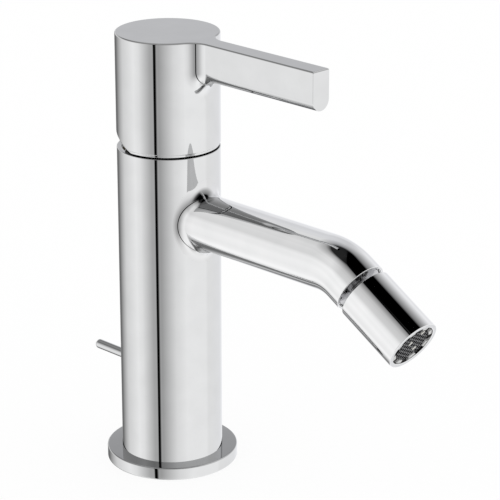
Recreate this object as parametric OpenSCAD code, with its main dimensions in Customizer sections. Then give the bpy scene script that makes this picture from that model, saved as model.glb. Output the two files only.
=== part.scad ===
// Single-lever bidet mixer: round column on a base ring, spout with a swivelling
// aerator nozzle, lever handle on a ceramic-disc cartridge, lift rod for the waste.
// Millimetres. The origin lies on the column's axis in the deck plane, +Z is up,
// spout and lever point to -Y, the lift knob points to +Y.

/* [Base ring] */
// Outside diameter of the base ring
base_d = 52; // [50:0.5:60]
// Height of the base ring
base_h = 5; // [4.5:0.5:8]
// Width of the rubber seal under the ring
seal_w = 3.6; // [2.5:0.1:4]
// Thickness of the rubber seal
seal_t = 1.4; // [1:0.1:2]
// Land between the seal and the outside of the ring
seal_land = 1.6; // [1.2:0.1:2]

/* [Body] */
// Outside diameter of the column
body_d = 40; // [39.5:0.5:43]
// Height of the column above the base ring
body_h = 125; // [118:1:150]
// Wall of the hollow lower column
skirt_wall = 3.5; // [3:0.1:4]
// Width of the rim around the top opening
rim_w = 1.9; // [1.6:0.1:2.2]
// Depth of the recess inside the rim
rim_depth = 4; // [3:0.5:5]
// Depth of the cartridge seat below the rim
seat_depth = 18; // [17.5:0.5:19]
// Depth of the step that carries the cartridge flange, below the rim
step_depth = 11; // [10.5:0.5:12]

/* [Water ways] */
// Tapping diameter of the two hose inlets (M10 x 1)
inlet_d = 9; // [8.8:0.1:9.4]
// Depth of the hose inlets
inlet_depth = 13; // [10:0.5:16]
// Distance between the two hose inlets
inlet_pitch = 16.4; // [16:0.2:18]
// How far the inlets lie in front of the column's axis
inlet_front = 3; // [2:0.5:4]
// Diameter of the channel from the block to the spout
outlet_d = 9.2; // [8:0.2:10]
// Diameter of the two channels up to the cartridge
channel_d = 5.2; // [4.4:0.2:5.6]
// Tapping diameter of the fixing stud hole (M8)
stud_d = 6.8; // [6.6:0.1:7]
// Depth of the fixing stud hole
stud_depth = 11; // [8:0.5:12]
// How far the fixing stud lies in front of the column's axis
stud_front = 10; // [9.5:0.5:11]

/* [Spout] */
// Outside diameter of the spout
spout_d = 21.2; // [20.6:0.1:22]
// Wall of the spout
spout_wall = 3.4; // [3.1:0.1:3.6]
// Distance of the spout's axis below the column's rim
spout_drop = 26.3; // [25:0.1:34]
// Column axis to the start of the bend
spout_run = 84.4; // [60:0.1:120]
// Centre line radius of the bend
bend_r = 21.6; // [16:0.1:40]
// Angle of the bend
bend_angle = 30.5; // [15:0.5:45]
// Straight end after the bend
spout_tail = 5.9; // [5.5:0.1:10]

/* [Nozzle] */
// Gap between spout and nozzle
nozzle_gap = 2.8; // [2.6:0.1:3.4]
// Outside diameter of the nozzle
nozzle_d = 21.5; // [21:0.1:23]
// Length of the nozzle
nozzle_len = 27; // [26:0.5:32]
// Wall at the mouth of the nozzle
nozzle_wall = 1.65; // [1.3:0.05:1.7]
// Diameter of the ball
ball_d = 14; // [13.6:0.1:14.4]
// Back rim of the nozzle to the ball's centre
ball_back = 5.5; // [5.3:0.1:5.7]
// Wall of the shell round the ball
shell_t = 1.5; // [1.3:0.1:1.6]
// Width across the holes of the outlet grid
cell_w = 1.9; // [1.5:0.1:2]

/* [Handle] */
// Outside diameter of the handle
handle_d = 40.2; // [39.8:0.1:42]
// Height of the handle
handle_h = 43.8; // [43:0.1:52]
// Gap between column and handle
handle_gap = 1.2; // [1:0.1:1.5]
// Wall of the handle
handle_wall = 1.9; // [1.6:0.1:2]
// Thickness of the handle's top
roof_t = 6; // [4:0.5:7]
// Angle of the bevel at the handle's back foot, also the lift of the lever
lift_angle = 20; // [16:0.5:21]
// Width of the lever
lever_w = 8.4; // [7:0.1:10]
// Column axis to the end of the lever
lever_reach = 80; // [60:1:110]
// Depth of the lever
lever_depth = 15.2; // [12:0.1:18]
// Radius between lever and handle
lever_fillet = 5; // [3:0.5:7]

/* [Cartridge] */
// Outside diameter of the cartridge
cart_d = 28; // [27.6:0.1:28.2]
// Thread diameter of the cartridge nut
nut_d = 32; // [31.6:0.1:32.4]
// Height of the pivot above the column's rim
pivot_rise = 8; // [7.5:0.1:8.5]
// Pivot to the ball end of the stem
stem_arm = 8; // [7.6:0.1:8.4]
// Diameter of the pivot pin
pin_d = 3; // [2.5:0.1:3.4]
// Thickness of the fixed disc
fixed_t = 4; // [3.5:0.1:4.4]
// Thickness of the moving disc
moving_t = 3; // [2.8:0.1:3.4]

/* [Lift rod] */
// Height of the knob above the deck
knob_z = 35.1; // [32:0.1:45]
// Diameter of the knob's rod
knob_d = 3.8; // [3.2:0.1:4.4]
// Column axis to the end of the knob
knob_reach = 43.4; // [36:0.1:60]
// Lift of the rod
lift_travel = 20; // [12:0.5:24]
// Diameter of the lift rod
rod_d = 5; // [4.8:0.1:5.6]

/* [Hidden] */
$fn = 96;
edge = 0.4;
run_clear = 0.05;
swing_clear = 0.3;
seat_clear = 0.1;

base_r = base_d / 2;
seal_ro = base_r - seal_land;
seal_ri = seal_ro - seal_w;

body_r = body_d / 2;
body_top = base_h + body_h;
spigot_r = body_r - 2;
spigot_z = 1.6;
skirt_r = body_r - skirt_wall;
rim_r = body_r - rim_w;
nut_r = nut_d / 2;
cart_r = cart_d / 2;
seat_z = body_top - seat_depth;
step_z = body_top - step_depth;

spout_r = spout_d / 2;
bore_r = spout_r - spout_wall;
spout_z = body_top - spout_drop;
socket_r = spout_r - 1.6;
socket_y = body_r - 4;
tail_r = bore_r + 1;
end_r = spout_r + 0.02;
lip_r = spout_r - 1.5;
lip_depth = 1.8;
tip_y = spout_run + bend_r * sin(bend_angle) + spout_tail * cos(bend_angle);
tip_z = spout_z - bend_r * (1 - cos(bend_angle)) - spout_tail * sin(bend_angle);

inlet_x = inlet_pitch / 2;
outlet_r = outlet_d / 2;
outlet_y = 4.5;
block_z = spout_z - outlet_r - 2 - inlet_depth;

ball_r = ball_d / 2;
ball_off = nozzle_gap + ball_back;
shell_ri = ball_r + run_clear;
shell_ro = shell_ri + shell_t;
cup_r = shell_ro + run_clear;
nozzle_r = nozzle_d / 2;
mouth_r = nozzle_r - nozzle_wall;
mouth_z = nozzle_len - ball_back;
lip_z = 8;
shell_back = 3.4;
shell_front = 1;
seal_front = 3;
insert_z = lip_z + 1.5;
insert_r = mouth_r - seat_clear;
insert_bore = insert_r - 1.05;
notch_z = mouth_z - 1.5;
grid_t = 2.5;
grid_z = mouth_z - 2.2 - grid_t;

handle_r = handle_d / 2;
handle_z = body_top + handle_gap;
handle_top = handle_z + handle_h;
cave_r = handle_r - handle_wall;
pivot_z = body_top + pivot_rise;
hub_rise = 11;
hub_z = pivot_z + hub_rise;
hub_r = 8;
screw_rise = 19;
screw_z = pivot_z + screw_rise;
screw_r = 2.5;
screw_len = 7;
key_r = 1.44;
key_depth = 2.5;
plug_len = 4;
plug_proud = 0.3;
lever_z = handle_top - lever_depth + lever_w / 2;
fillet_x = lever_w / 2 + lever_fillet;
fillet_y = -sqrt(pow(handle_r + lever_fillet - 0.05, 2) - pow(fillet_x, 2));
fillet_end = fillet_x * handle_r / (handle_r + lever_fillet);

gasket_t = 1.2;
plate_t = 2;
plate_z = seat_z + gasket_t;
fixed_z = plate_z + plate_t;
moving_z = fixed_z + fixed_t + 0.03;
carrier_z = moving_z + moving_t;
sleeve_z = carrier_z + 2.4;
shoulder_z = sleeve_z + 2.6;
flange_t = 2.2;
nut_z = step_z + flange_t;
nut_top = body_top + 2;
shell_r = cart_r - 0.4;
cavity_r = cart_r - 2;
neck_r = cart_r - 1.8;
neck_bore = cart_r - 3.5;
neck_rise = 2;
neck_top = pivot_z + neck_rise;
sleeve_rise = 4.5;
sleeve_top = pivot_z + sleeve_rise;
stem_w = 6;
stem_d = 8;
stem_grip = 13;
stem_top = hub_z + stem_grip;
stem_neck = 2.2;
stem_ball = 2.8;
stem_knuckle = 4;
slide = stem_arm * lift_angle * PI / 180;
disc_r = cavity_r - slide - swing_clear;
block_w = 9;
port_x = 5.6;
port_y = -3.4;

dome_r = cave_r - 0.5;
dome_wall = 0.9;
dome_rise = 6.2;
dome_top = pivot_z + dome_rise;
dome_skirt = cave_r - 1.7;

rod_r = rod_d / 2;
rod_inset = 4;
rod_y = skirt_r - rod_inset;
rod_z = 4;
rod_rise = 6;
link_r = 1.65;
link_depth = 10;
pin_r = 1.4;
knob_r = knob_d / 2;
slot_r = knob_r + 0.2;
guide_z = 8;
guide_len = 20;
guide_top = guide_z + guide_len;
guide_wall = 1.4;
plate_rise = 6;
plate_h = 4;
plate_reach = 6;

// Ring about the Z axis.
module ring(ri, ro, z0, z1) {
    difference() {
        translate([0, 0, z0])
            cylinder(r = ro, h = z1 - z0);
        translate([0, 0, z0 - 1])
            cylinder(r = ri, h = z1 - z0 + 2);
    }
}

// Rod along the Y axis.
module rod_along_y(r, y0, y1, x = 0, z = 0) {
    translate([x, y0, z])
        rotate([-90, 0, 0])
            cylinder(r = r, h = y1 - y0);
}

// Places a piece on the straight end of the spout: local Z is the way out.
module at_tip() {
    translate([0, -tip_y, tip_z])
        rotate([90 + bend_angle, 0, 0])
            children();
}

// Places a piece on the centre of the ball: local Z is the nozzle's axis.
module at_ball() {
    at_tip()
        translate([0, 0, ball_off])
            children();
}

module base_ring() {
    color("silver")
        difference() {
            rotate_extrude()
                polygon([
                    [spigot_r, 0],
                    [base_r - edge, 0],
                    [base_r, edge],
                    [base_r, base_h - edge],
                    [base_r - edge, base_h],
                    [spigot_r, base_h]
                ]);
            ring(seal_ri - seat_clear, seal_ro + seat_clear, -1, seal_t + seat_clear);
        }
}

module base_seal() {
    color("dimgray")
        ring(seal_ri, seal_ro, 0, seal_t + seat_clear);
}

module body_blank() {
    rotate_extrude()
        polygon([
            [0, spigot_z],
            [spigot_r, spigot_z],
            [spigot_r, base_h],
            [body_r, base_h],
            [body_r, body_top - edge],
            [body_r - edge, body_top],
            [0, body_top]
        ]);
}

// Upright slot at the back of the column, with round ends.
module knob_slot() {
    slot_end = knob_z + lift_travel;
    rod_along_y(slot_r, skirt_r - 2, body_r + 2, 0, knob_z);
    rod_along_y(slot_r, skirt_r - 2, body_r + 2, 0, slot_end);
    translate([-slot_r, skirt_r - 2, knob_z])
        cube([2 * slot_r, skirt_wall + 4, lift_travel]);
}

module body() {
    color("silver")
        difference() {
            body_blank();
            translate([0, 0, -1])
                cylinder(r = skirt_r, h = block_z + 1);
            translate([0, 0, seat_z])
                cylinder(r = cart_r + 0.2, h = seat_depth + 1);
            translate([0, 0, step_z])
                cylinder(r = nut_r, h = step_depth + 1);
            translate([0, 0, body_top - rim_depth])
                cylinder(r = rim_r, h = rim_depth + 1);
            for (side = [-1, 1]) {
                translate([side * inlet_x, -inlet_front, block_z - 1])
                    cylinder(r = inlet_d / 2, h = inlet_depth + 1);
                translate([side * inlet_x, -inlet_front, block_z])
                    cylinder(r = channel_d / 2, h = seat_z - block_z + 1);
            }
            translate([0, -stud_front, block_z - 1])
                cylinder(r = stud_d / 2, h = stud_depth + 1);
            rod_along_y(outlet_r, -socket_y - 1, outlet_y + 3, 0, spout_z);
            translate([0, outlet_y, spout_z])
                cylinder(r = 3.2, h = seat_z - spout_z + 1);
            rod_along_y(socket_r, -body_r - 1, -socket_y, 0, spout_z);
            knob_slot();
        }
}

// Root and straight run of the spout, coped to the column.
module spout_straight() {
    difference() {
        union() {
            difference() {
                rod_along_y(spout_r, -spout_run, -body_r / 2, 0, spout_z);
                translate([0, 0, spout_z - spout_d])
                    cylinder(r = body_r, h = 2 * spout_d);
            }
            rod_along_y(socket_r, -body_r - 2, -socket_y, 0, spout_z);
        }
        rod_along_y(bore_r, -spout_run - 1, 0, 0, spout_z);
    }
}

module spout_bend() {
    translate([0, -spout_run, spout_z - bend_r])
        rotate([0, -90, 0])
            rotate([180, 0, 0])
                rotate_extrude(angle = bend_angle)
                    translate([bend_r, 0])
                        difference() {
                            circle(r = spout_r);
                            circle(r = bore_r);
                        }
}

// Straight end with the thread and the lip for the ball stud.
module spout_end() {
    at_tip()
        rotate_extrude()
            polygon([
                [tail_r, -spout_tail - 0.05],
                [end_r, -spout_tail - 0.05],
                [end_r, 0],
                [lip_r, 0],
                [lip_r, -lip_depth],
                [tail_r, -lip_depth]
            ]);
}

module spout() {
    color("silver") {
        spout_straight();
        spout_bend();
        spout_end();
    }
}

// The three water holes of the cartridge's lower pieces.
module ports(z0, h, inlet_r, exit_r, spread) {
    for (side = [-1, 1])
        translate([side * spread, port_y, z0])
            cylinder(r = inlet_r, h = h);
    translate([0, outlet_y, z0])
        cylinder(r = exit_r, h = h);
}

module cartridge_gasket() {
    color("dimgray")
        difference() {
            translate([0, 0, seat_z])
                cylinder(r = cart_r - 0.3, h = gasket_t);
            ports(seat_z - 1, gasket_t + 2, 2.6, 3.1, 7);
        }
}

module cartridge_base() {
    color("ivory")
        difference() {
            translate([0, 0, plate_z])
                cylinder(r = cavity_r, h = plate_t);
            ports(plate_z - 1, plate_t + 2, 2, 3, port_x);
        }
}

module fixed_disc() {
    color("white")
        difference() {
            translate([0, 0, fixed_z])
                cylinder(r = cavity_r - 0.2, h = fixed_t);
            ports(fixed_z - 1, fixed_t + 2, 2, 3, port_x);
        }
}

module moving_disc() {
    color("white")
        difference() {
            translate([0, 0, moving_z])
                cylinder(r = disc_r, h = moving_t);
            translate([-5.5, -0.9, moving_z - 1])
                cube([11, 7.4, 1 + moving_t / 2]);
        }
}

module disc_carrier() {
    block_top = pivot_z - stem_arm + 1;
    color("ivory")
        difference() {
            union() {
                translate([0, 0, carrier_z])
                    cylinder(r = disc_r, h = 2);
                translate([-block_w / 2, -block_w / 2, carrier_z])
                    cube([block_w, block_w, block_top - carrier_z]);
            }
            translate([0, 0, carrier_z + 1])
                cylinder(r = stem_ball + swing_clear, h = block_top - carrier_z);
        }
}

module cartridge_housing() {
    color("gainsboro")
        difference() {
            rotate_extrude()
                polygon([
                    [cavity_r, plate_z],
                    [cart_r, plate_z],
                    [cart_r, step_z],
                    [nut_r - 0.4, step_z],
                    [nut_r - 0.4, nut_z],
                    [shell_r, nut_z],
                    [shell_r, shoulder_z + 1.4],
                    [neck_r, shoulder_z + 1.4],
                    [neck_r, neck_top],
                    [neck_bore, neck_top],
                    [neck_bore, shoulder_z],
                    [cavity_r, shoulder_z]
                ]);
            translate([-1, cavity_r - 1, plate_z - 1])
                cube([2, 4, 3]);
        }
}

module turn_sleeve() {
    slot_y0 = -block_w / 2 - slide - swing_clear;
    slot_y1 = block_w / 2 + swing_clear;
    stem_slot = stem_d / 2 / cos(lift_angle) + stem_arm * tan(lift_angle) + swing_clear;
    slot_top = pivot_z - stem_arm + 2;
    color("lightsteelblue")
        difference() {
            rotate_extrude()
                polygon([
                    [0, sleeve_z],
                    [cavity_r - seat_clear, sleeve_z],
                    [cavity_r - seat_clear, shoulder_z - seat_clear],
                    [neck_bore - run_clear, shoulder_z - seat_clear],
                    [neck_bore - run_clear, sleeve_top],
                    [0, sleeve_top]
                ]);
            translate([-block_w / 2 - seat_clear, slot_y0, sleeve_z - 1])
                cube([block_w + 2 * seat_clear, slot_y1 - slot_y0, slot_top - sleeve_z + 1]);
            translate([-stem_w / 2 - seat_clear, -stem_slot, slot_top - 1])
                cube([stem_w + 2 * seat_clear, 2 * stem_slot, sleeve_top - slot_top + 2]);
            translate([-neck_bore, 0, pivot_z])
                rotate([0, 90, 0])
                    cylinder(r = pin_d / 2, h = 2 * neck_bore);
        }
}

module pivot_pin() {
    color("lightgray")
        translate([-neck_bore + 0.5, 0, pivot_z])
            rotate([0, 90, 0])
                cylinder(r = pin_d / 2, h = 2 * neck_bore - 1);
}

module stem() {
    color("darkgray")
        difference() {
            union() {
                translate([-stem_w / 2, -stem_d / 2, pivot_z - stem_knuckle])
                    cube([stem_w, stem_d, stem_top - pivot_z + stem_knuckle]);
                translate([0, 0, pivot_z - stem_arm])
                    cylinder(r = stem_neck, h = stem_arm);
                translate([0, 0, pivot_z - stem_arm])
                    sphere(r = stem_ball);
            }
            translate([-stem_w, 0, pivot_z])
                rotate([0, 90, 0])
                    cylinder(r = pin_d / 2 + run_clear, h = 2 * stem_w);
        }
}

module cartridge_nut() {
    color("goldenrod")
        difference() {
            union() {
                ring(shell_r + 0.3, nut_r, nut_z, body_top - rim_depth);
                ring(shell_r + 0.3, nut_r - 0.6, body_top - rim_depth, nut_top);
            }
            for (turn = [0 : 60 : 300])
                rotate([0, 0, turn])
                    translate([shell_r - 1, -2, nut_top - 2.5])
                        cube([6, 4, 4]);
        }
}

module dome_cover() {
    skirt_z = body_top - rim_depth / 2;
    color("silver")
        rotate_extrude()
            difference() {
                union() {
                    intersection() {
                        translate([0, pivot_z])
                            circle(r = dome_r);
                        translate([0, nut_top])
                            square([dome_r, dome_top - nut_top]);
                    }
                    translate([0, skirt_z])
                        square([dome_skirt, nut_top + 1 - skirt_z]);
                }
                intersection() {
                    translate([0, pivot_z])
                        circle(r = dome_r - dome_wall);
                    translate([0, nut_top + 1])
                        square([dome_r, dome_top - nut_top - 2]);
                }
                translate([-1, skirt_z - 1])
                    square([nut_r + 0.6, nut_top - skirt_z + 1]);
                translate([-1, nut_top - 1])
                    square([neck_r + 1.5, dome_top - nut_top + 2]);
            }
}

// Plan of the web that rounds the corner between lever and handle.
module lever_web() {
    difference() {
        translate([-fillet_end, fillet_y])
            square([2 * fillet_end, -fillet_y]);
        for (side = [-1, 1])
            translate([side * fillet_x, fillet_y])
                circle(r = lever_fillet);
    }
}

module lever() {
    translate([0, 0, lever_z])
        rotate([90, 0, 0])
            linear_extrude(height = lever_reach) {
                circle(r = lever_w / 2);
                translate([-lever_w / 2, 0])
                    square([lever_w, handle_top - lever_z]);
            }
    translate([0, 0, lever_z])
        linear_extrude(height = handle_top - lever_z)
            lever_web();
    translate([0, 0, lever_z])
        rotate([90, 0, 0])
            rotate([0, 0, 180])
                rotate_extrude(angle = 180)
                    difference() {
                        square([fillet_end, -fillet_y]);
                        translate([fillet_x, -fillet_y])
                            circle(r = lever_fillet);
                    }
}

module handle() {
    wall_mid = handle_r - handle_wall / 2;
    color("silver")
        difference() {
            union() {
                difference() {
                    union() {
                        rotate_extrude()
                            polygon([
                                [0, handle_z],
                                [handle_r - 0.8, handle_z],
                                [handle_r, handle_z + 0.8],
                                [handle_r, handle_top],
                                [0, handle_top]
                            ]);
                        lever();
                    }
                    translate([0, 0, handle_z - 1])
                        cylinder(r = cave_r, h = handle_h - roof_t + 1);
                }
                translate([0, 0, hub_z])
                    cylinder(r = hub_r, h = handle_top - roof_t - hub_z + 1);
                rod_along_y(screw_r + 2, 0, wall_mid, 0, screw_z);
            }
            translate([-stem_w / 2 - 0.03, -stem_d / 2 - 0.03, hub_z - 1])
                cube([stem_w + 0.06, stem_d + 0.06, stem_top - hub_z + 1.5]);
            rod_along_y(screw_r, 0, handle_r + 2 * plug_proud, 0, screw_z);
            translate([0, 0, handle_z])
                rotate([lift_angle, 0, 0])
                    translate([-handle_d, 0, -handle_d])
                        cube([2 * handle_d, 2 * handle_d, handle_d]);
        }
}

module handle_screw() {
    screw_end = stem_d / 2 + screw_len;
    color("dimgray")
        difference() {
            rod_along_y(screw_r, stem_d / 2, screw_end, 0, screw_z);
            translate([0, screw_end - key_depth, screw_z])
                rotate([-90, 0, 0])
                    cylinder(r = key_r, h = 2 * key_depth, $fn = 6);
        }
}

module handle_plug() {
    color("silver")
        rod_along_y(screw_r, handle_r - plug_len, handle_r + plug_proud, 0, screw_z);
}

module stud_seal() {
    color("dimgray")
        at_tip()
            ring(bore_r, tail_r - seat_clear, -spout_tail, -spout_tail + 1);
}

module ball_stud() {
    foot = -ball_off - spout_tail + 1;
    lip = -ball_off - lip_depth;
    color("silver")
        at_ball()
            rotate_extrude()
                difference() {
                    union() {
                        translate([0, foot])
                            square([tail_r, lip - foot]);
                        translate([0, lip])
                            square([lip_r - seat_clear, 1.2]);
                        translate([0, lip])
                            square([4, -lip]);
                        intersection() {
                            circle(r = ball_r);
                            translate([0, -ball_r])
                                square([ball_r, ball_r + 5.2]);
                        }
                    }
                    translate([-1, foot - 1])
                        square([3.6, -foot + 10]);
                }
}

module ball_shell() {
    color("ivory")
        at_ball()
            rotate_extrude()
                intersection() {
                    difference() {
                        circle(r = shell_ro);
                        circle(r = shell_ri);
                    }
                    translate([0, -shell_back])
                        square([shell_ro, shell_back + shell_front]);
                }
}

module ball_seal() {
    color("dimgray")
        at_ball()
            rotate_extrude()
                difference() {
                    translate([4.5, seal_front])
                        square([cup_r - 4.5, lip_z - seat_clear - seal_front]);
                    circle(r = shell_ri);
                }
}

module nozzle_housing() {
    color("silver")
        at_ball()
            rotate_extrude()
                difference() {
                    polygon([
                        [0, -ball_back],
                        [nozzle_r - edge, -ball_back],
                        [nozzle_r, -ball_back + edge],
                        [nozzle_r, mouth_z - edge],
                        [nozzle_r - edge, mouth_z],
                        [0, mouth_z]
                    ]);
                    circle(r = cup_r);
                    translate([-1, 0.5])
                        square([1 + cup_r + run_clear, lip_z]);
                    translate([-1, lip_z])
                        square([1 + mouth_r, mouth_z]);
                }
}

module aerator_seal() {
    color("dimgray")
        at_ball()
            ring(5.5, insert_r, lip_z, insert_z);
}

module aerator_cup() {
    color("gray")
        at_ball()
            difference() {
                ring(insert_bore, insert_r, insert_z, notch_z);
                for (turn = [0 : 30 : 330])
                    rotate([0, 0, turn])
                        translate([insert_bore - 1, -0.9, notch_z - 1.2])
                            cube([4, 1.8, 3]);
            }
}

module aerator_strainer() {
    color("lightgray")
        at_ball()
            difference() {
                translate([0, 0, insert_z])
                    cylinder(r = insert_bore, h = 1);
                for (turn = [0 : 30 : 330])
                    rotate([0, 0, turn])
                        for (reach = [2.6, 4.6, 6.6])
                            translate([reach, 0, insert_z - 1])
                                cylinder(r = 0.45, h = 3);
            }
}

module aerator_jet() {
    color("ivory")
        at_ball()
            difference() {
                translate([0, 0, insert_z + 2])
                    cylinder(r = insert_bore, h = 2);
                for (turn = [0 : 30 : 330])
                    rotate([0, 0, turn])
                        translate([5.4, 0, insert_z])
                            cylinder(r = 0.6, h = 6);
            }
}

// Disc with hexagonal cells in rows.
module aerator_grid() {
    pitch = cell_w + 0.45;
    color("dimgray")
        at_ball()
            difference() {
                translate([0, 0, grid_z])
                    cylinder(r = insert_bore, h = grid_t);
                for (row = [-3 : 3])
                    for (col = [-3 : 3]) {
                        cx = (col + (row % 2 == 0 ? 0 : 0.5)) * pitch;
                        cy = row * pitch * sqrt(3) / 2;
                        if (sqrt(cx * cx + cy * cy) < insert_bore - cell_w / 2 - 0.5)
                            translate([cx, cy, grid_z - 1])
                                rotate([0, 0, 30])
                                    cylinder(d = cell_w, h = grid_t + 2, $fn = 6);
                    }
            }
}

module lift_rod() {
    rod_top = knob_z + rod_rise;
    color("lightgray")
        difference() {
            translate([0, rod_y, rod_z])
                cylinder(r = rod_r, h = rod_top - rod_z);
            translate([0, rod_y, rod_z - 1])
                cylinder(r = link_r, h = link_depth + 1);
            rod_along_y(pin_r, rod_y, rod_y + rod_r + 1, 0, knob_z);
        }
}

module lift_knob() {
    color("silver") {
        rod_along_y(pin_r, rod_y, rod_y + rod_r + 1, 0, knob_z);
        rod_along_y(knob_r, rod_y + rod_r, knob_reach - knob_r, 0, knob_z);
        translate([0, knob_reach - knob_r, knob_z])
            sphere(r = knob_r);
    }
}

module rod_guide() {
    color("darkslategray")
        difference() {
            union() {
                intersection() {
                    translate([0, 0, guide_z + plate_rise])
                        cylinder(r = skirt_r, h = plate_h);
                    translate([-body_r, rod_y - plate_reach, guide_z])
                        cube([body_d, body_d, guide_len]);
                }
                intersection() {
                    translate([0, rod_y, guide_z])
                        cylinder(r = rod_r + guide_wall, h = guide_len);
                    cylinder(r = skirt_r, h = 2 * guide_top);
                }
            }
            translate([0, rod_y, guide_z - 1])
                cylinder(r = rod_r + run_clear, h = guide_top);
        }
}

base_ring();
base_seal();
body();
spout();
cartridge_gasket();
cartridge_base();
fixed_disc();
moving_disc();
disc_carrier();
cartridge_housing();
turn_sleeve();
pivot_pin();
stem();
cartridge_nut();
dome_cover();
handle();
handle_screw();
handle_plug();
stud_seal();
ball_stud();
ball_shell();
ball_seal();
nozzle_housing();
aerator_seal();
aerator_cup();
aerator_strainer();
aerator_jet();
aerator_grid();
lift_rod();
lift_knob();
rod_guide();
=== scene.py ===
import math

import bpy
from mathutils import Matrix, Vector


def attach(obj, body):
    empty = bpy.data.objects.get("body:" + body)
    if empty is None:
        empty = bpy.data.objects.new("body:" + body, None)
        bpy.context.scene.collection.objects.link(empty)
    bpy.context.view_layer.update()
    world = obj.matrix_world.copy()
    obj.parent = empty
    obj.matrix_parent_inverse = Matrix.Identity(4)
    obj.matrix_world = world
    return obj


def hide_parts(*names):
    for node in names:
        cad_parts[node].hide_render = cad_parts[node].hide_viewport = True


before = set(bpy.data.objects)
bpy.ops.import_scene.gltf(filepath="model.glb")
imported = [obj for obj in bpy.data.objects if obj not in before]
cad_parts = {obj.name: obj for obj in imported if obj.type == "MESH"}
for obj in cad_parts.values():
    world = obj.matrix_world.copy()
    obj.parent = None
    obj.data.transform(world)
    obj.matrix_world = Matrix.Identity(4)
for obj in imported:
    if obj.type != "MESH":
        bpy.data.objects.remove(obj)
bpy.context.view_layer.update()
MM = 0.001


# Base seal: a flat rubber ring in the groove under the base ring.
# Moulded black EPDM, slightly matt, it beds the mixer on the deck.
def mottled(name, dark, light, grain, rough, metallic=0.0, relief=0.0):
    """A finish whose tone, gloss and relief wander a little, in patches of grain millimetres."""
    finish = bpy.data.materials.new(name)
    finish.use_nodes = True
    tree = finish.node_tree
    shader = tree.nodes["Principled BSDF"]
    shader.inputs["Metallic"].default_value = metallic
    place = tree.nodes.new("ShaderNodeTexCoord")
    patches = tree.nodes.new("ShaderNodeTexNoise")
    patches.inputs["Scale"].default_value = 1 / (grain * MM)
    patches.inputs["Detail"].default_value = 4.0
    tree.links.new(place.outputs["Object"], patches.inputs["Vector"])
    tone = tree.nodes.new("ShaderNodeValToRGB")
    tone.color_ramp.elements[0].position = 0.3
    tone.color_ramp.elements[0].color = (*dark, 1)
    tone.color_ramp.elements[1].position = 0.7
    tone.color_ramp.elements[1].color = (*light, 1)
    tree.links.new(patches.outputs["Fac"], tone.inputs["Fac"])
    tree.links.new(tone.outputs["Color"], shader.inputs["Base Color"])
    gloss = tree.nodes.new("ShaderNodeMapRange")
    gloss.inputs["To Min"].default_value = rough[0]
    gloss.inputs["To Max"].default_value = rough[1]
    tree.links.new(patches.outputs["Fac"], gloss.inputs["Value"])
    tree.links.new(gloss.outputs["Result"], shader.inputs["Roughness"])
    if relief:
        bump = tree.nodes.new("ShaderNodeBump")
        bump.inputs["Strength"].default_value = 0.4
        bump.inputs["Distance"].default_value = relief * MM
        tree.links.new(patches.outputs["Fac"], bump.inputs["Height"])
        tree.links.new(bump.outputs["Normal"], shader.inputs["Normal"])
    return finish


def finish_node(name, finish):
    """Gives a piece that stays as it was built its finish."""
    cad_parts[name].material_slots[0].material = finish


rubber = mottled(
    "black_rubber", (0.012, 0.012, 0.013), (0.03, 0.03, 0.031), 0.6, (0.55, 0.75), 0.0, 0.02
)
finish_node("base_seal", rubber)


# Base ring: the round flange that the column stands on.
# Turned brass, polished and chromed, with softly broken edges.
def turned(name, profile, steps=192):
    """Spins a profile of (radius, height) points in millimetres about the Z axis, as on a lathe."""
    bpy.ops.object.select_all(action="DESELECT")
    bpy.ops.mesh.primitive_plane_add(size=MM)
    piece = bpy.context.object
    piece.name = piece.data.name = name
    bpy.ops.object.mode_set(mode="EDIT")
    bpy.ops.mesh.select_mode(type="VERT")
    bpy.ops.mesh.select_all(action="SELECT")
    bpy.ops.mesh.merge(type="CENTER")
    tool = Vector((0, 0, 0))
    for number, (radius, height) in enumerate(profile):
        step = Vector((radius, 0, height)) * MM - tool
        if number == 0:
            bpy.ops.transform.translate(value=step)
        else:
            bpy.ops.mesh.extrude_region_move(TRANSFORM_OT_translate={"value": step})
        tool += step
    bpy.ops.mesh.select_all(action="SELECT")
    bpy.ops.mesh.spin(steps=steps, angle=2 * math.pi, center=(0, 0, 0), axis=(0, 0, 1))
    bpy.ops.mesh.select_all(action="SELECT")
    bpy.ops.mesh.remove_doubles(threshold=0.001 * MM)
    bpy.ops.mesh.normals_make_consistent(inside=False)
    bpy.ops.object.mode_set(mode="OBJECT")
    return piece


def only(piece):
    """Selects a piece and nothing else."""
    bpy.ops.object.select_all(action="DESELECT")
    piece.select_set(True)
    bpy.context.view_layer.objects.active = piece


SHARP = math.radians(32)


def break_edges(piece, width, segments=3):
    """Rounds every sharp edge of a piece by so many millimetres and keeps its flats flat."""
    only(piece)
    bpy.ops.object.shade_smooth()
    bevel = piece.modifiers.new("edges", "BEVEL")
    bevel.width = width * MM
    bevel.segments = segments
    bevel.limit_method = "ANGLE"
    bevel.angle_limit = SHARP
    bpy.ops.object.modifier_apply(modifier=bevel.name)
    flats = piece.modifiers.new("flats", "WEIGHTED_NORMAL")
    flats.mode = "FACE_AREA"
    flats.weight = 50
    bpy.ops.object.modifier_apply(modifier=flats.name)


def fitted(piece, body, finish, slot, *nodes):
    """Gives a finished piece its finish, and hands it to the body that it moves with."""
    piece.data.materials.clear()
    piece.data.materials.append(finish)
    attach(piece, body)
    if nodes:
        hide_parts(*nodes)


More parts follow.
